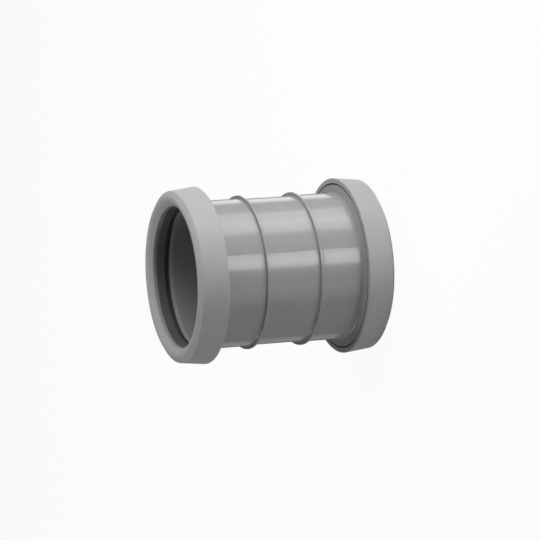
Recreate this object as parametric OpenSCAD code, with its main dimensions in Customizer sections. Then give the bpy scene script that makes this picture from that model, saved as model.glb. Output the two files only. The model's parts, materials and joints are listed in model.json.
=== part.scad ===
// Slip coupling for drain pipe: a ribbed tube with a ring-seal housing at each end.
// Each housing is a bell on the tube's end. A rubber ring lies in the bell, and a cap
// with a rounded nose snaps over the bell and holds the ring down on its seat.
// The bore has no stop, so the coupling slides right over a pipe.
// It stands on the lower cap's nose, with z along the bore. Sizes are in millimetres.

/* [Pipe] */
// Outside diameter of the pipe that slides through
pipe_d = 110; // [100:0.5:125]
// Radial clearance between the pipe and the bore of the body
bore_gap = 0.4; // [0.2:0.05:0.6]
// Radial clearance between the pipe and the mouth of a cap
mouth_gap = 1.2; // [1:0.1:2]
// Radial clearance between the pipe and a seal's lip, which lies as a fitted pipe holds it
lip_gap = 0.15; // [0.1:0.05:0.3]

/* [Tube] */
// Overall length, from mouth to mouth
overall_length = 164; // [150:1:220]
// Wall of the tube's two end sections
tube_wall = 3.3; // [2.6:0.1:4.5]
// Step down from the end sections to the slimmer middle section
waist_step = 0.5; // [0.2:0.1:1]
// Distance between the centres of the two ribs
rib_spacing = 45.2; // [30:0.2:60]
// Height of a rib above the end sections
rib_height = 2.5; // [2:0.1:4]
// Width of a rib between its flanks
rib_width = 2; // [1.5:0.1:3.5]
// Rounding of a rib's two crest edges
rib_round = 0.5; // [0.2:0.1:0.7]
// Fillet at the foot of a rib
rib_fillet = 0.8; // [0.3:0.1:1.2]

/* [Housing] */
// Radial room for the seal, from the pipe to the wall of the bell
seal_room = 6.8; // [6.2:0.1:8]
// Distance from the front of the seal to the edge of the bore behind it
seal_length = 10.4; // [9.5:0.1:12]
// Wall of the bell
bell_wall = 3.3; // [2.6:0.1:4.5]
// Wall of the bell's floor, where the floor meets the bell
floor_wall = 3.2; // [2.4:0.1:4]
// Radial depth of the taper that leads the pipe into the bore
lead_in = 0.8; // [0.3:0.1:1]
// Length of that taper
lead_in_length = 3.1; // [2:0.1:5]
// Length over which the shoulder widens from the tube to the bell
shoulder_length = 1.2; // [0.6:0.1:3]
// Fillet where the shoulder meets the tube
shoulder_fillet = 1.2; // [0.4:0.1:2]
// Distance by which the shoulder's edge stands out of the cap's rear rim
shoulder_proud = 0.2; // [0:0.1:1]
// Height of the bead on the bell that the cap snaps over
bead_height = 0.9; // [0.5:0.1:1.2]
// Length of the bead's gentle flank, which faces the mouth
bead_ramp = 2.4; // [1.5:0.1:4]
// Length of the bead's steep flank, which holds the cap
bead_catch = 0.5; // [0.3:0.1:1]
// Distance from the cap's rear rim to the crest of the bead
bead_place = 8.4; // [7:0.1:11]

/* [Cap] */
// Length of a cap, from its mouth to its rear rim
cap_length = 23.4; // [22:0.1:30]
// Gap that shows between the bell and the cap's rear rim
skirt_gap = 1.2; // [0.8:0.1:2]
// Depth of that gap
skirt_depth = 4.4; // [2:0.1:6]
// Thickness of the rear rim
rim_wall = 4.1; // [3.2:0.1:5.5]
// Rounding of the rear rim's outer edge
rim_round = 0.8; // [0.3:0.1:1.5]
// Rounding of the nose towards the outside
nose_round = 5.3; // [3.5:0.1:6]
// Rounding of the nose towards the mouth
crest_round = 5; // [3:0.1:5.5]
// Radial width of the flare that leads from the nose into the mouth
flare_width = 4.1; // [3.5:0.1:4.5]
// Depth of that flare
flare_depth = 4.2; // [3.5:0.1:5]
// Rounding of the edge where the flare meets the straight mouth
mouth_edge = 0.5; // [0.2:0.1:1]
// Width of the flat ring on the nose, on which the coupling stands
nose_flat = 0.6; // [0.4:0.1:2]
// Straight stretch of the mouth behind its flare
mouth_land = 2.8; // [1.5:0.1:3.5]
// Wall of the nose at its flat ring
nose_wall = 3.3; // [2.6:0.1:4]
// Wall of the lip that turns in at the mouth and holds the seal
turn_in_wall = 4.2; // [3.4:0.1:4.6]
// Radial clearance between the cap and the bell
cap_gap = 0.2; // [0.1:0.05:0.4]
// Clearance between the end of the bell and the inside of the nose
end_gap = 0.5; // [0.3:0.1:1]
// Chamfer on the end of the bell and in the corner of the nose
end_chamfer = 1.2; // [0.6:0.1:1.6]

/* [Seal] */
// Radial clearance between the seal and the bell
seal_gap = 0.2; // [0.1:0.05:0.3]
// Thickness of the seal's heel, which lies against the bell
heel_wall = 3.4; // [3:0.1:3.8]
// Distance from the front of the seal to the tip of its lip
lip_length = 7; // [5.5:0.1:8]
// Thickness of the lip
lip_wall = 1.5; // [1:0.1:1.8]
// Amount by which the lip's radius is larger at its root than at its tip
lip_lean = 0.9; // [0.2:0.1:1]
// Rounding of the lip's edges
lip_round = 0.4; // [0.2:0.1:0.5]
// Thickness of the web that joins the lip to the heel
web_wall = 2.8; // [2:0.1:3.5]

/* [Hidden] */
$fn = 144;
// Reach of a cutting shape past the surface that it cuts
over = 1;
// Colours of the moulded body, the caps and the rubber
body_grey = [0.50, 0.50, 0.50];
cap_grey = [0.62, 0.62, 0.62];
rubber_black = [0.07, 0.07, 0.07];

// Radii from the bore outwards
pipe_r = pipe_d / 2;
bore_r = pipe_r + bore_gap;
tube_r = bore_r + tube_wall;
waist_r = tube_r - waist_step;
rib_r = tube_r + rib_height;
mouth_r = pipe_r + mouth_gap;
turn_in_r = mouth_r + turn_in_wall;
ridge_r = bore_r + lead_in;
seat_r = pipe_r + seal_room;
bell_r = seat_r + bell_wall;
snug_r = bell_r + cap_gap;
skirt_r = bell_r + skirt_gap;
cap_r = skirt_r + rim_wall;

// Heights of the upper half above the coupling's middle
half_length = overall_length / 2;
rib_z = rib_spacing / 2;
rim_z = half_length - cap_length;
front_z = half_length - flare_depth - mouth_land;
ridge_z = front_z - seal_length;
edge_z = rim_z - shoulder_proud;
shoulder_z = edge_z - shoulder_length;
floor_z = shoulder_z + shoulder_length * (seat_r - tube_r) / (bell_r - tube_r) + floor_wall;
nose_z = half_length - nose_wall;
bell_z = nose_z - end_gap;
bead_z = rim_z + bead_place;

// The flare's rounding ends at the flat ring on the nose
flare_angle = atan2(flare_depth, flare_width);
ring_r = mouth_r + flare_width + crest_round * tan(flare_angle / 2);

// The cap's outside leans in from the rear rim until it touches the nose's rounding
nose_in = cap_r - (ring_r + nose_flat);
nose_down = cap_length - nose_round;
taper = atan2(nose_in, nose_down) - asin(nose_round / norm([nose_in, nose_down]));
nose_r = cap_r - cap_length * tan(taper);

// Height of the bell's sloping floor at radius r
function seat_z(r) = ridge_z + (floor_z - ridge_z) * (r - ridge_r) / (seat_r - ridge_r);

// Unit vector from one point towards another
function towards(p, q) = (q - p) / norm(q - p);

// The space between the point of a corner and the arc that rounds it. Its two sides
// run from the point along a and b. It reaches a little past both, so that it fills
// an inner corner when it is added and rounds an outer one when it is taken away.
module corner(point, a, b, r) {
    reach = 1.2;
    half_angle = acos(a * b) / 2;
    side = r / tan(half_angle);
    centre = point + r / sin(half_angle) * towards([0, 0], a + b);
    difference() {
        polygon([for (p = [centre, point + side * a, point, point + side * b])
            centre + reach * (p - centre)]);
        translate(centre) circle(r);
    }
}

// Outline of the upper half of the tube and its bell, from the bore round to the waist
upper_outline = [
    [bore_r, ridge_z - lead_in_length],
    [ridge_r, ridge_z],
    [seat_r, floor_z],
    [seat_r, bell_z],
    [bell_r - end_chamfer, bell_z],
    [bell_r, bell_z - end_chamfer],
    [bell_r, bead_z + bead_ramp],
    [bell_r + bead_height, bead_z],
    [bell_r, bead_z - bead_catch],
    [bell_r, edge_z],
    [tube_r, shoulder_z],
    [tube_r, rib_z],
    [waist_r, rib_z]
];

// The tube with both bells, as one outline: the upper half and the same points turned over
module tube() {
    last = len(upper_outline) - 1;
    lower_outline = [for (i = [last:-1:0]) [upper_outline[i][0], -upper_outline[i][1]]];
    rotate_extrude() polygon(concat(upper_outline, lower_outline));
}

// Fillet that turns the tube out into the shoulder
module shoulder_foot() {
    base = [tube_r, shoulder_z];
    rotate_extrude() corner(base, towards(base, [bell_r, edge_z]), [0, -1], shoulder_fillet);
}

// One rib: straight flanks, rounded crest edges and a fillet at each foot
module rib() {
    root = bore_r + tube_wall / 2;
    low = rib_z - rib_width / 2;
    high = rib_z + rib_width / 2;
    rotate_extrude() difference() {
        translate([root, low]) square([rib_r - root, rib_width]);
        corner([rib_r, low], [-1, 0], [0, 1], rib_round);
        corner([rib_r, high], [-1, 0], [0, -1], rib_round);
    }
    rotate_extrude() corner([waist_r, low], [1, 0], [0, -1], rib_fillet);
    rotate_extrude() corner([tube_r, high], [1, 0], [0, 1], rib_fillet);
}

// Wall of a cap: a leaning skirt, a rounded nose and a flare into the mouth, hollow for the bell
module cap_profile() {
    rim = [cap_r, rim_z];
    nose = [nose_r, half_length];
    crest = [mouth_r + flare_width, half_length];
    mouth = [mouth_r, half_length - flare_depth];
    difference() {
        polygon([[mouth_r, rim_z], rim, nose, crest, mouth]);
        corner(rim, [-1, 0], towards(rim, nose), rim_round);
        corner(nose, [-1, 0], towards(nose, rim), nose_round);
        corner(crest, [1, 0], towards(crest, mouth), crest_round);
        corner(mouth, towards(mouth, crest), [0, -1], mouth_edge);
        cap_hollow();
    }
}

// Room in the cap for the bell, its bead and the seal, open at the rear
module cap_hollow() {
    polygon([
        [mouth_r - over, rim_z - over],
        [skirt_r, rim_z - over],
        [skirt_r, rim_z + skirt_depth],
        [snug_r, rim_z + skirt_depth + skirt_r - snug_r],
        [snug_r, bead_z - bead_catch],
        [snug_r + bead_height, bead_z],
        [snug_r, bead_z + bead_ramp],
        [snug_r, nose_z - end_chamfer],
        [snug_r - end_chamfer, nose_z],
        [turn_in_r, nose_z],
        [turn_in_r, front_z],
        [mouth_r - over, front_z]
    ]);
}

// Section of a seal: a heel on the bell's floor, and a lip that leans in to the pipe
module seal_profile() {
    lip_r = pipe_r + lip_gap;
    heel_r = seat_r - seal_gap;
    slot_r = heel_r - heel_wall;
    tip_z = front_z - lip_length;
    root = [lip_r + lip_lean, front_z];
    tip = [lip_r, tip_z];
    back = [lip_r + lip_wall, tip_z];
    slot = back + (lip_length - web_wall) * [lip_lean / lip_length, 1];
    difference() {
        polygon([
            root,
            tip,
            back,
            slot,
            [slot_r, slot[1]],
            [slot_r, seat_z(slot_r)],
            [heel_r, seat_z(heel_r)],
            [heel_r, front_z]
        ]);
        corner(root, [1, 0], towards(root, tip), 2 * lip_round);
        corner(tip, towards(tip, root), [1, 0], lip_round);
        corner(back, towards(back, slot), [-1, 0], lip_round);
    }
}

// Turns the upper half's profile into the ring at the upper end
module upper_ring() {
    translate([0, 0, half_length]) rotate_extrude() children();
}

// The same ring, turned over at the lower end
module lower_ring() {
    translate([0, 0, half_length]) mirror([0, 0, 1]) rotate_extrude() children();
}

module body() {
    color(body_grey) translate([0, 0, half_length]) {
        tube();
        for (turn = [0, 180]) rotate([turn, 0, 0]) {
            shoulder_foot();
            rib();
        }
    }
}

module upper_cap() {
    color(cap_grey) upper_ring() cap_profile();
}

module lower_cap() {
    color(cap_grey) lower_ring() cap_profile();
}

module upper_seal() {
    color(rubber_black) upper_ring() seal_profile();
}

module lower_seal() {
    color(rubber_black) lower_ring() seal_profile();
}

body();
upper_cap();
lower_cap();
upper_seal();
lower_seal();
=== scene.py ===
# Looks for a drain pipe slip coupling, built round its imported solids: the moulded body with its
# mould lines, the caps with their crisp-edged noses, the finishes of the body, caps and ring
# seals, and the floor, lights and camera.
# Metres, with z along the bore; the coupling stands on its lower cap.
import json
import math

import bpy
import numpy as np
from mathutils import Matrix, Vector


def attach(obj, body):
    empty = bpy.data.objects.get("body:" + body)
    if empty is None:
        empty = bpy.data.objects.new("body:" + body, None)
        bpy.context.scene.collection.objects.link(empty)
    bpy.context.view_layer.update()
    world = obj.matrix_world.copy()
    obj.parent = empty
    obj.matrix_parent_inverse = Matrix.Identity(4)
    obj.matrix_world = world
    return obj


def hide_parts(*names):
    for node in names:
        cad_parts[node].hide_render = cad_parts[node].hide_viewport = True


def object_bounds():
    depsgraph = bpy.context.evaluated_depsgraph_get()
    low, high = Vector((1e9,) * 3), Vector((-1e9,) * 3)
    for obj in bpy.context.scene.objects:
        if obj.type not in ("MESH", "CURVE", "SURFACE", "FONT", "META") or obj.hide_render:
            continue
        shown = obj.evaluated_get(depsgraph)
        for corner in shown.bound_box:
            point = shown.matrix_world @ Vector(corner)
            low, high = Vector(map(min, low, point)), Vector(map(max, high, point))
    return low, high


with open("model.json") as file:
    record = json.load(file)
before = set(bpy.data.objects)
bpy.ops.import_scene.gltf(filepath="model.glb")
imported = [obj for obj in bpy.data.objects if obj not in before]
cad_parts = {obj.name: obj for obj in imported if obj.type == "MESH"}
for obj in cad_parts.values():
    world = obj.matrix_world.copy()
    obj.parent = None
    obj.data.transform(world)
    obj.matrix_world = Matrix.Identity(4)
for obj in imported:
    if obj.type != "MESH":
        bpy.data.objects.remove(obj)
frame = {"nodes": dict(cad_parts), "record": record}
cadLow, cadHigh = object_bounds()
mm = 0.001
middle = (cadLow + cadHigh) / 2     # on the bore's axis, half way up
print("frame loaded:", ", ".join(sorted(frame["nodes"])))

# Camera. It stands at the photograph's angle: the upper mouth is turned towards it, and the
# coupling lies across the picture, so +X is up there and the lower mouth is on the right.
cameraSetup = {
    "turn": 20.59,              # degrees between the upper mouth's direction and the picture
    "roll": 4.10,               # degrees that the coupling's right end is raised
    "distance": 2.633,          # from the middle of the coupling
    "lens": 220.2,              # mm
    "sensor": 36,               # mm
    "farthest": 60,             # up to which the camera sees
    "shift": (0.0012, -0.00036),  # how far right and down the middle lies from the line of sight
}


# Picture directions: forward is +Y dipped by the turn, and right and up are square to it, rolled.
def pictureAxes(setup):
    turn = math.radians(setup["turn"])
    roll = math.radians(setup["roll"])
    forward = Vector((0, math.cos(turn), -math.sin(turn)))
    level = Vector((0, -math.sin(turn), -math.cos(turn)))
    right = level * math.cos(roll) - Vector((math.sin(roll), 0, 0))
    return right, right.cross(forward), forward


# The camera stands the distance behind the middle, moved against the shift, and looks forward.
def addCamera(setup):
    right, up, forward = pictureAxes(setup)
    across, down = setup["shift"]
    place = middle - forward * setup["distance"] + right * across - up * down
    camera = bpy.data.objects.new("camera", bpy.data.cameras.new("camera"))
    camera.data.lens = setup["lens"]
    camera.data.sensor_width = setup["sensor"]
    camera.data.clip_end = setup["farthest"]
    turned = Matrix((right, up, -forward)).transposed().to_4x4()
    camera.matrix_world = Matrix.Translation(place) @ turned
    bpy.context.scene.collection.objects.link(camera)
    bpy.context.scene.camera = camera


addCamera(cameraSetup)
print("camera placed")


# A socket of a node tree, so that sums and products of sockets add Math nodes.
class Wire:
    def __init__(self, tree, socket):
        self.tree = tree
        self.socket = socket

    # Any node: settings are set first, then each input gets a value or the wire's link.
    def node(self, kind, settings, inputs, output=0):
        made = self.tree.nodes.new(kind)
        for name, value in settings.items():
            setattr(made, name, value)
        for name, value in inputs.items():
            if isinstance(value, Wire):
                self.tree.links.new(value.socket, made.inputs[name])
            else:
                made.inputs[name].default_value = value
        return Wire(self.tree, made.outputs[output])

    def maths(self, operation, first, second=0.0):
        return self.node("ShaderNodeMath", {"operation": operation}, {0: first, 1: second})

    def __add__(self, other):
        return self.maths("ADD", self, other)

    def __sub__(self, other):
        return self.maths("SUBTRACT", self, other)

    def __rsub__(self, other):
        return self.maths("SUBTRACT", other, self)

    def __mul__(self, other):
        return self.maths("MULTIPLY", self, other)

    __radd__ = __add__
    __rmul__ = __mul__

    # 0 below low, 1 above high, and straight between them
    def rise(self, low, high):
        return self.node("ShaderNodeMapRange", {"clamp": True},
                         {"Value": self, "From Min": low, "From Max": high}, 0)


# An empty material: its tree, its shader and a wire of Object coordinates in metres.
def newFinish(name):
    material = bpy.data.materials.new(name)
    material.use_nodes = True
    tree = material.node_tree
    shader = tree.nodes["Principled BSDF"]
    place = Wire(tree, tree.nodes.new("ShaderNodeTexCoord").outputs["Object"])
    return material, shader, place


# Links a wire to the shader's input of that name.
def join(shader, name, wire):
    wire.tree.links.new(wire.socket, shader.inputs[name])


# Noise over the surface, from 0 to 1, whose grains are about size metres wide.
def grain(place, size, detail=2.0, stretch=(1, 1, 1)):
    spread = place.node("ShaderNodeMapping", {}, {"Vector": place, "Scale": stretch})
    return place.node("ShaderNodeTexNoise", {"noise_dimensions": "3D"},
                      {"Vector": spread, "Scale": 1 / size, "Detail": detail, "Roughness": 0.5}, 0)


# A grey of the level times the shares, which wander round 1.
def greyOf(place, level, shares):
    value = level * shares
    return place.node("ShaderNodeCombineColor", {}, {"Red": value, "Green": value, "Blue": value})


# Plastic's grey drifts in wide clouds and varies from grain to grain: with each noise less a
# half, the shares are 1 plus cloud times the wide one plus speckle times the fine one.
def cloudedGrey(place, values):
    cloud = grain(place, values["cloudSize"] * mm) - 0.5
    speckle = grain(place, values["speckleSize"] * mm, 1.0) - 0.5
    shares = 1 + values["cloud"] * cloud + values["speckle"] * speckle
    return greyOf(place, values["grey"], shares)


# The roughness plus the drift times a noise less a half.
def driftingRoughness(place, values):
    return values["roughness"] + values["drift"] * (grain(place, values["driftSize"] * mm) - 0.5)


# The slopes of a surface whose height is given in mm.
def bumpOf(place, height):
    return place.node("ShaderNodeBump", {}, {"Height": height, "Distance": mm})


# Finishes. Sizes and heights are in mm.
bodyFinish = {
    "grey": 0.30,
    "cloud": 0.05,          # share by which the grey drifts over a few centimetres
    "cloudSize": 28,
    "speckle": 0.07,        # share by which it varies from grain to grain
    "speckleSize": 0.5,
    "roughness": 0.19,
    "drift": 0.03,          # of the roughness
    "driftSize": 9,
    "boreDulling": 0.2,     # by which the roughness is higher on the bore and its lead-ins
    "boreEdge": (0.2, 0.6),  # outside the bore's radius, where that and the drawn lines end
    "orangePeel": 0.004,    # height of the mould's slight waviness
    "peelSize": 3,
    "drawLines": 0.006,     # height of the lines that the core leaves along the bore
    "lineSize": 0.8,
    "lineStretch": 0.02,    # width of a line over its length
}


# Gloss plastic. The height is the waviness and, where the bore's mask is 1, the drawn lines.
def bodyPlastic(values):
    material, shader, place = newFinish("mouldedBody")
    join(shader, "Base Color", cloudedGrey(place, values))
    roughness = driftingRoughness(place, values)
    join(shader, "Roughness", roughness + values["boreDulling"] * boreMask(place, values))
    peel = grain(place, values["peelSize"] * mm, 1.0)
    lines = grain(place, values["lineSize"] * mm, 1.0, (1, 1, values["lineStretch"]))
    height = values["orangePeel"] * peel + values["drawLines"] * lines * boreMask(place, values)
    join(shader, "Normal", bumpOf(place, height))
    return material


# 1 on the bore and its lead-ins, 0 outside: the distance from the axis, stepped just past them.
def boreMask(place, values):
    flat = place.node("ShaderNodeVectorMath", {"operation": "MULTIPLY"}, {0: place, 1: (1, 1, 0)})
    away = place.node("ShaderNodeVectorMath", {"operation": "LENGTH"}, {0: flat}, "Value")
    low, high = values["boreEdge"]
    return 1 - away.rise(bore["radius"] + low * mm, bore["radius"] + high * mm)


capFinish = {
    "grey": 0.36,
    "cloud": 0.04,
    "cloudSize": 24,
    "speckle": 0.06,
    "speckleSize": 0.6,
    "roughness": 0.5,
    "drift": 0.06,
    "driftSize": 7,
    "texture": 0.02,        # height of the fine eroded grain of the mould
    "textureSize": 0.7,
}


# Matt plastic, with the mould's fine grain as its height.
def capPlastic(values):
    material, shader, place = newFinish("mouldedCap")
    join(shader, "Base Color", cloudedGrey(place, values))
    join(shader, "Roughness", driftingRoughness(place, values))
    texture = values["texture"] * grain(place, values["textureSize"] * mm, 3.0)
    join(shader, "Normal", bumpOf(place, texture))
    return material


rubberFinish = {
    "grey": 0.1,
    "roughness": 0.3,
    "bloom": 0.12,          # share by which dull patches are lighter
    "bloomSize": 20,
    "bloomRange": (0.4, 0.8),   # of the noise, over which a patch sets in
    "bloomDulling": 0.04,   # by which the roughness is higher on a patch
    "texture": 0.01,
    "textureSize": 1.2,
}


# Black rubber: where a patch of bloom sets in, its grey and roughness rise.
def sealRubber(values):
    material, shader, place = newFinish("sealRubber")
    bloom = grain(place, values["bloomSize"] * mm).rise(*values["bloomRange"])
    join(shader, "Base Color", greyOf(place, values["grey"], 1 + values["bloom"] * bloom))
    join(shader, "Roughness", values["roughness"] + values["bloomDulling"] * bloom)
    texture = values["texture"] * grain(place, values["textureSize"] * mm)
    join(shader, "Normal", bumpOf(place, texture))
    return material


pipeMount = next(m for m in frame["record"]["mounts"] if m["name"] == "upper_pipe")
bore = {"radius": pipeMount["dims"]["r_mm"] * mm, "length": pipeMount["dims"]["length_mm"] * mm}
plasticOfBody = bodyPlastic(bodyFinish)
plasticOfCap = capPlastic(capFinish)
rubberOfSeal = sealRubber(rubberFinish)
for sealName in ("upper_seal", "lower_seal"):
    frame["nodes"][sealName].data.materials[0] = rubberOfSeal
print("finishes made")

# Body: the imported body's form, with what its mould leaves on it. It is moulded in two halves that
# part along two lines, one near the picture's front and one opposite. Lengths in mm.
bodyForm = {
    "wall": 3.3,                    # of the tube's end sections
    "waistStep": 0.5,               # by which the middle section is slimmer
    "ribPlace": 22.6,               # height of a rib's centre above the coupling's middle
    "ribHeight": 2.5,
    "ribWidth": 2.0,
    "ribRound": 0.5,
    "ribFillet": 0.8,
    "leadDepth": 0.8,               # radial depth of the taper behind each seal
    "leadLength": 3.1,
    "leadRound": 0.48,
    "seatRadius": 61.8,             # inside of the bell
    "seatFloor": 60.98,             # height at which the bell's sloping floor meets it
    "bellRadius": 65.1,
    "bellEnd": 78.2,
    "bellChamfer": 1.2,
    "beadHeight": 0.9,              # snap bead that holds the cap
    "beadPlace": 67.0,
    "beadRamp": 2.4,
    "beadCatch": 0.5,
    "shoulderEdge": 58.4,           # height of the shoulder's outer edge
    "shoulderLength": 1.2,
    "shoulderFillet": 1.2,
    "edgeRound": 0.12,              # on edges that the mould leaves crisp
    "arcSteps": 5,                  # straight pieces in a rounding
    "longestPiece": 4.0,            # of the outline
}
mouldTraces = {
    "partingAngle": 13.0,           # degrees from the front, -Y, towards +X
    "kink": 0.16,                   # lift of the surface at a parting line
    "kinkSpread": 4.0,              # degrees over which that lift dies away
    "flash": 0.08,                  # height of the fine ridge on a parting line
    "flashWidth": 0.22,             # degrees
    "flashLevel": (0.6, 0.4),       # its share of that height: the mean, and how far it swings
    "flashWave": (0.11, 1.0),       # radians per mm of height, and at the middle
    "insideShare": 0.6,             # of the wall, up to which the outline counts as inside
    "ripple": 0.02,                 # height of the slow waves in the outside
    "waves": ((5, 0.05, 0, 1), (9, -0.13, 2, 1), (3, 0.21, 0, 0.6)),
    "evenAngles": 240,
    "besideLine": (0, 0.06, 0.12, 0.2, 0.3, 0.45, 0.7, 1.0),  # degrees, where columns stand
    "clearOfLine": 1.1,             # degrees, within which no even column stands
}


# Half the body's outline as corners, from the bore round the bell to the waist: each row is a
# radius, a height above the middle and the rounding of that corner.
def bodyCorners(form):
    boreRadius, halfBore = bore["radius"] / mm, bore["length"] / mm / 2
    tube = boreRadius + form["wall"]
    waist = tube - form["waistStep"]
    rib = tube + form["ribHeight"]
    crisp, foot = form["edgeRound"], form["ribFillet"]
    ribLow = form["ribPlace"] - form["ribWidth"] / 2
    ribHigh = form["ribPlace"] + form["ribWidth"] / 2
    bell, bead = form["bellRadius"], form["beadPlace"]
    return np.array([
        (boreRadius, halfBore, form["leadRound"]),
        (boreRadius + form["leadDepth"], halfBore + form["leadLength"], crisp),
        (form["seatRadius"], form["seatFloor"], crisp),
        (form["seatRadius"], form["bellEnd"], crisp),
        (bell - form["bellChamfer"], form["bellEnd"], crisp),
        (bell, form["bellEnd"] - form["bellChamfer"], crisp),
        (bell, bead + form["beadRamp"], 0),
        (bell + form["beadHeight"], bead, crisp),
        (bell, bead - form["beadCatch"], 0),
        (bell, form["shoulderEdge"], crisp),
        (tube, form["shoulderEdge"] - form["shoulderLength"], form["shoulderFillet"]),
        (tube, ribHigh, foot),
        (rib, ribHigh, form["ribRound"]),
        (rib, ribLow, form["ribRound"]),
        (waist, ribLow, foot),
    ])


# Rounds the corners of a closed outline. With h half the angle between a corner's two sides, the
# arc of radius r touches them at r / tan h from the corner, its centre lies r / sin h along the
# bisector, and it turns through 180 degrees less 2 h in even steps. Then long straight
# stretches are cut into even pieces no longer than longest.
def roundedOutline(corners, steps, longest):
    point, radius = corners[:, :2], corners[:, 2:]
    back = np.roll(point, 1, axis=0) - point
    ahead = np.roll(point, -1, axis=0) - point
    back /= np.linalg.norm(back, axis=1, keepdims=True)
    ahead /= np.linalg.norm(ahead, axis=1, keepdims=True)
    half = np.arccos(np.clip((back * ahead).sum(axis=1, keepdims=True), -1, 1)) / 2
    bisector = back + ahead
    bisector /= np.linalg.norm(bisector, axis=1, keepdims=True)
    centre = point + bisector * radius / np.sin(half)
    spoke = point + back * radius / np.tan(half) - centre
    side = np.sign(back[:, :1] * ahead[:, 1:] - back[:, 1:] * ahead[:, :1])
    share = np.linspace(0, 1, steps + 1)
    turn = -side * (math.pi - 2 * half) * share
    x = centre[:, :1] + spoke[:, :1] * np.cos(turn) - spoke[:, 1:] * np.sin(turn)
    y = centre[:, 1:] + spoke[:, :1] * np.sin(turn) + spoke[:, 1:] * np.cos(turn)
    keep = (radius > 0) | (share == 0)
    outline = np.stack([x[keep], y[keep]], axis=1)
    step = np.roll(outline, -1, axis=0) - outline
    pieces = np.maximum(1, np.ceil(np.linalg.norm(step, axis=1) / longest).astype(int))
    first = np.repeat(np.arange(len(outline)), pieces)
    done = np.arange(pieces.sum()) - np.repeat(np.cumsum(pieces) - pieces, pieces)
    along = done / pieces[first]
    return outline[first] + step[first] * along[:, None]


# Degrees between each angle and the nearest parting line, the shorter way round.
def awayFrom(lines, angles):
    return np.abs((angles[:, None] - np.array(lines) + 180) % 360 - 180).min(axis=1)


# Angles round the axis in degrees: even steps, and finer ones beside each parting line.
def turnedAngles(lines, traces):
    beside = np.array(traces["besideLine"])
    near = (np.array(lines)[:, None] + np.concatenate([-beside[:0:-1], beside])).ravel()
    even = np.arange(traces["evenAngles"]) * 360 / traces["evenAngles"]
    clear = awayFrom(lines, even) > traces["clearOfLine"]
    return np.sort(np.concatenate([even[clear], near % 360]))


# Slow waves from -1 to 1: each row of the table has n waves round the axis, p radians per mm of
# height, a phase f and a share s, and s sin(n angle + p height + f) is summed and divided by the
# sum of s.
def slowWaves(table, angles, height):
    turned = np.radians(angles)
    total = sum(share * np.sin(count * turned + pitch * height + phase)
                for count, pitch, phase, share in table)
    return total / sum(row[3] for row in table)


sharpAngle = 30     # degrees, past which an edge shades crisp


# A closed outline turned about z into a closed skin. Row i, column j is outline point i at angle
# j; the outline runs so that the faces point outwards.
def turnedSkin(name, radius, height, angles):
    turned = np.radians(angles)
    rows, columns = radius.shape
    places = np.stack([radius * np.cos(turned), radius * np.sin(turned),
                       np.broadcast_to(height[:, None], radius.shape)], axis=2)
    i, j = np.meshgrid(np.arange(rows), np.arange(columns), indexing="ij")
    nextRow, nextColumn = (i + 1) % rows, (j + 1) % columns
    faces = np.stack([i * columns + j, nextRow * columns + j,
                      nextRow * columns + nextColumn, i * columns + nextColumn], axis=2)
    mesh = bpy.data.meshes.new(name)
    places = places.reshape(-1, 3) * mm + np.array(middle)
    mesh.from_pydata(places.tolist(), [], faces.reshape(-1, 4).tolist())
    mesh.shade_smooth()
    mesh.set_sharp_from_angle(angle=math.radians(sharpAngle))
    piece = bpy.data.objects.new(name, mesh)
    bpy.context.scene.collection.objects.link(piece)
    return piece


# The moulded skin: on the outside between the shoulders, the radius grows beside a parting line,
# at d degrees from it, by kink times e to the -d / spread and by flash times e to the
# -(d / width) squared, the flash varying along the line as a sine, and by slow waves.
def bodyMoulding(form, traces):
    upper = bodyCorners(form)
    lower = upper[::-1] * np.array([1, -1, 1])
    corners = np.concatenate([upper, lower])
    outline = roundedOutline(corners, form["arcSteps"], form["longestPiece"])
    front = traces["partingAngle"] - 90
    lines = [front % 360, (front + 180) % 360]
    angles = turnedAngles(lines, traces)
    radius, height = outline[:, :1], outline[:, 1:]
    inside = radius < bore["radius"] / mm + traces["insideShare"] * form["wall"]
    outside = ~inside & (np.abs(height) < form["shoulderEdge"] - form["shoulderLength"])
    away = awayFrom(lines, angles)
    mean, swing = traces["flashLevel"]
    pitch, phase = traces["flashWave"]
    flash = traces["flash"] * np.exp(-(away / traces["flashWidth"]) ** 2)
    lift = traces["kink"] * np.exp(-away / traces["kinkSpread"])
    lift = lift + flash * (mean + swing * np.sin(pitch * height + phase))
    lift = lift + traces["ripple"] * slowWaves(traces["waves"], angles, height)
    return turnedSkin("bodyMoulding", radius + outside * lift, height[:, 0], angles)


moulding = bodyMoulding(bodyForm, mouldTraces)
moulding.data.materials.append(plasticOfBody)
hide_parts("body")
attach(moulding, "root")
print("body moulded:", len(moulding.data.polygons), "faces")

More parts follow.
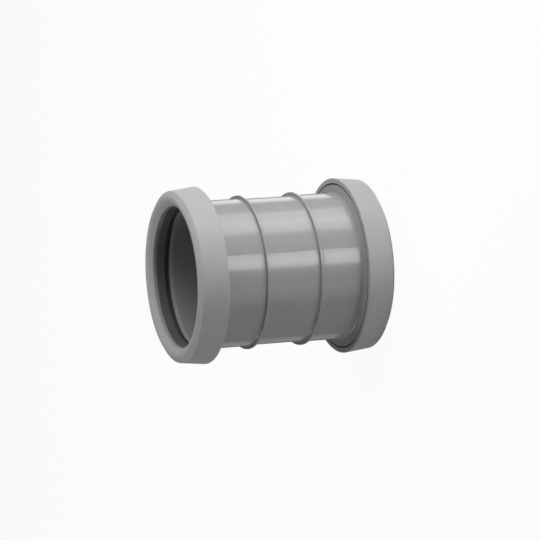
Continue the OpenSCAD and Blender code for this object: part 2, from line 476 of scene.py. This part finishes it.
# Caps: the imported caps' form, with the nose as the photograph shows it up close: a slanting face
# that meets the skirt at a crisp edge. Radii, and heights above the middle, in mm.
capForm = {
    "mouth": 56.2,
    "front": 75.0,                  # height of the seal's front, where the turned-in lip ends
    "flareFoot": 77.8,              # height at which the flare meets the straight mouth
    "flareWidth": 4.1,
    "mouthEdge": 0.5,
    "crestRound": 5.0,
    "face": (63.6, 2.0),            # radius at which the nose's face begins, and its rounding
    "faceEnd": 79.15,               # height of the edge where it meets the skirt
    "faceEdge": 0.9,
    "rim": (70.4, 58.6, 0.8),       # rear rim: radius, height and rounding
    "lean": 0.1136,                 # by which the skirt's radius shrinks per mm of height
    "skirtInside": 66.3,
    "skirtDepth": 4.4,
    "snug": 65.3,                   # inside, round the bell
    "lipRadius": 60.4,              # inside of the nose, where the turned-in lip begins
    "noseInside": 78.7,
    "chamfer": 1.2,
    "arcSteps": 7,
    "longestPiece": 3.0,
    "angles": 256,
    "ripple": 0.02,                 # height of the slow waves in the outside
    "waves": ((4, 0.3, 0, 1), (7, -0.2, 1, 1)),
    "waveFoot": (68.6, 0.6),        # radius past which they set in, and over how much of it
}


# A cap's outline as corners, as for the body: up the mouth, over the nose, down the skirt and
# back through the room for bell and seal.
def capCorners(form):
    top = (cadHigh.z - middle.z) / mm
    rimRadius, rimHeight, rimRound = form["rim"]
    faceRadius, faceRound = form["face"]
    skirtAtFace = rimRadius - form["lean"] * (form["faceEnd"] - rimHeight)
    snug, bead, crisp = form["snug"], bodyForm["beadPlace"], bodyForm["edgeRound"]
    return np.array([
        (form["mouth"], form["front"], crisp),
        (form["mouth"], form["flareFoot"], form["mouthEdge"]),
        (form["mouth"] + form["flareWidth"], top, form["crestRound"]),
        (faceRadius, top, faceRound),
        (skirtAtFace, form["faceEnd"], form["faceEdge"]),
        (rimRadius, rimHeight, rimRound),
        (form["skirtInside"], rimHeight, crisp),
        (form["skirtInside"], rimHeight + form["skirtDepth"], 0),
        (snug, rimHeight + form["skirtDepth"] + form["skirtInside"] - snug, 0),
        (snug, bead - bodyForm["beadCatch"], 0),
        (snug + bodyForm["beadHeight"], bead, crisp),
        (snug, bead + bodyForm["beadRamp"], 0),
        (snug, form["noseInside"] - form["chamfer"], 0),
        (snug - form["chamfer"], form["noseInside"], 0),
        (form["lipRadius"], form["noseInside"], crisp),
        (form["lipRadius"], form["front"], crisp),
    ])


# A cap's skin, for the upper end or mirrored for the lower. Slow waves less 1, so that they only
# go inwards, run over the outside of the skirt and die away where it narrows towards the nose.
def capMoulding(name, form, end):
    corners = capCorners(form)
    if end < 0:
        corners = corners[::-1] * np.array([1, -1, 1])
    outline = roundedOutline(corners, form["arcSteps"], form["longestPiece"])
    radius, height = outline[:, :1], outline[:, 1:]
    angles = np.arange(form["angles"]) * 360 / form["angles"]
    foot, width = form["waveFoot"]
    share = np.clip((radius - foot) / width, 0, 1)
    waves = slowWaves(form["waves"], angles, height) - 1
    return turnedSkin(name, radius + form["ripple"] * share * waves, height[:, 0], angles)


for capName, capEnd in (("upper_cap", 1), ("lower_cap", -1)):
    cap = capMoulding(capName + "Moulding", capForm, capEnd)
    cap.data.materials.append(plasticOfCap)
    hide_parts(capName)
    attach(cap, "root")
    print(capName, "moulded:", len(cap.data.polygons), "faces")

# Floor: a wide plain sheet under the coupling. The camera sees it nearly white, with the shadow.
floorSetup = {
    "side": 24.0,
    "grey": 0.85,
    "roughness": 0.9,
    "glow": 0.94,       # share of plain white in what the camera sees of it
}


# What the camera sees of the sheet is glow times white plus the rest times its own look.
def addFloor(values):
    half = values["side"] / 2
    corners = [(-half, -half, 0), (half, -half, 0), (half, half, 0), (-half, half, 0)]
    mesh = bpy.data.meshes.new("floor")
    mesh.from_pydata(corners, [], [(0, 1, 2, 3)])
    floor = bpy.data.objects.new("floor", mesh)
    bpy.context.scene.collection.objects.link(floor)
    material = bpy.data.materials.new("paleFloor")
    material.use_nodes = True
    tree = material.node_tree
    shader = tree.nodes["Principled BSDF"]
    shader.inputs["Base Color"].default_value = (values["grey"],) * 3 + (1,)
    shader.inputs["Roughness"].default_value = values["roughness"]
    rays = Wire(tree, tree.nodes.new("ShaderNodeLightPath").outputs["Is Camera Ray"])
    white = rays.node("ShaderNodeEmission", {}, {"Color": (1, 1, 1, 1), "Strength": 1.0})
    plain = Wire(tree, shader.outputs[0])
    seen = rays.node("ShaderNodeMixShader", {}, {0: rays * values["glow"], 1: plain, 2: white})
    tree.links.new(seen.socket, tree.nodes["Material Output"].inputs["Surface"])
    mesh.materials.append(material)
    # the softboxes stand round the coupling in the picture, some past this sheet: only their
    # own light on the coupling passes it, and the sheet still takes the coupling's shadow
    floor.visible_glossy = False
    floor.visible_shadow = False


addFloor(floorSetup)

# Lights: softboxes by their direction in the picture, in degrees up and right of the camera. Those
# without sheen light the plastic but aren't mirrored in it.
softboxes = {
    "key": {"up": 60, "right": -6, "distance": 0.8, "size": (0.6, 0.4), "strength": 6.0,
            "sheen": False},
    "left": {"up": 18, "right": -64, "distance": 0.9, "size": (0.86, 0.44), "strength": 2.5,
             "sheen": False},
    "leftFar": {"up": 14, "right": -78, "distance": 0.9, "size": (0.5, 0.4), "strength": 2.35,
                "sheen": False},
    "right": {"up": 14.2, "right": 40.8, "distance": 1.2, "size": (0.34, 0.36), "strength": 6.4},
    "aboveFront": {"up": 65.4, "right": 64.8, "distance": 1.2, "size": (0.42, 0.42),
                   "strength": 3.7},
    "aboveBack": {"up": 73.3, "right": 115, "distance": 1.2, "size": (0.42, 0.42), "strength": 2.5},
    "lowLeft": {"up": -28, "right": -85, "distance": 1.2, "size": (0.5, 0.5), "strength": 1.0},
    "lowRight": {"up": -30, "right": 48, "distance": 1.2, "size": (0.5, 0.5), "strength": 0.6},
    "lowBack": {"up": -60, "right": -120, "distance": 1.2, "size": (0.5, 0.5), "strength": 2.8},
    "below": {"up": -60, "right": 20, "distance": 1.2, "size": (0.5, 0.5), "strength": 1.8},
    "rimTop": {"up": 32.7, "right": 179, "distance": 1.2, "size": (0.5, 0.42), "strength": 1.6},
    "rimLow": {"up": -32.1, "right": 173, "distance": 1.2, "size": (0.5, 0.42), "strength": 0.35},
}


# A rectangle whose middle lies in the given direction and which faces the coupling's middle.
# Its radiance is strength, so its power is pi times strength times its area.
def addSoftbox(name, values):
    right, up, forward = pictureAxes(cameraSetup)
    raised = math.radians(values["up"])
    aside = math.radians(values["right"])
    away = right * math.sin(aside) - forward * math.cos(aside)
    away = (away * math.cos(raised) + up * math.sin(raised)).normalized()
    data = bpy.data.lights.new(name, "AREA")
    data.shape = "RECTANGLE"
    data.size, data.size_y = values["size"]
    data.energy = math.pi * values["strength"] * data.size * data.size_y
    lamp = bpy.data.objects.new(name, data)
    bpy.context.scene.collection.objects.link(lamp)
    lamp.visible_glossy = values.get("sheen", True)
    across = (right - away * right.dot(away)).normalized()
    turned = Matrix((across, away.cross(across), away)).transposed().to_4x4()
    lamp.matrix_world = Matrix.Translation(middle + away * values["distance"]) @ turned


for boxName, boxValues in softboxes.items():
    addSoftbox(boxName, boxValues)

# World: white to the camera, and a low even grey to everything else.
worldSetup = {"ambient": 0.08}


# The strength is 1 for camera rays and ambient for all others.
def setWorld(values):
    world = bpy.data.worlds.new("surround")
    world.use_nodes = True
    bpy.context.scene.world = world
    tree = world.node_tree
    rays = Wire(tree, tree.nodes.new("ShaderNodeLightPath").outputs["Is Camera Ray"])
    background = tree.nodes["Background"]
    background.inputs["Color"].default_value = (1, 1, 1, 1)
    level = rays * (1 - values["ambient"]) + values["ambient"]
    tree.links.new(level.socket, background.inputs["Strength"])


setWorld(worldSetup)
bpy.context.scene.view_settings.view_transform = "Standard"
print("floor, lights and world set")
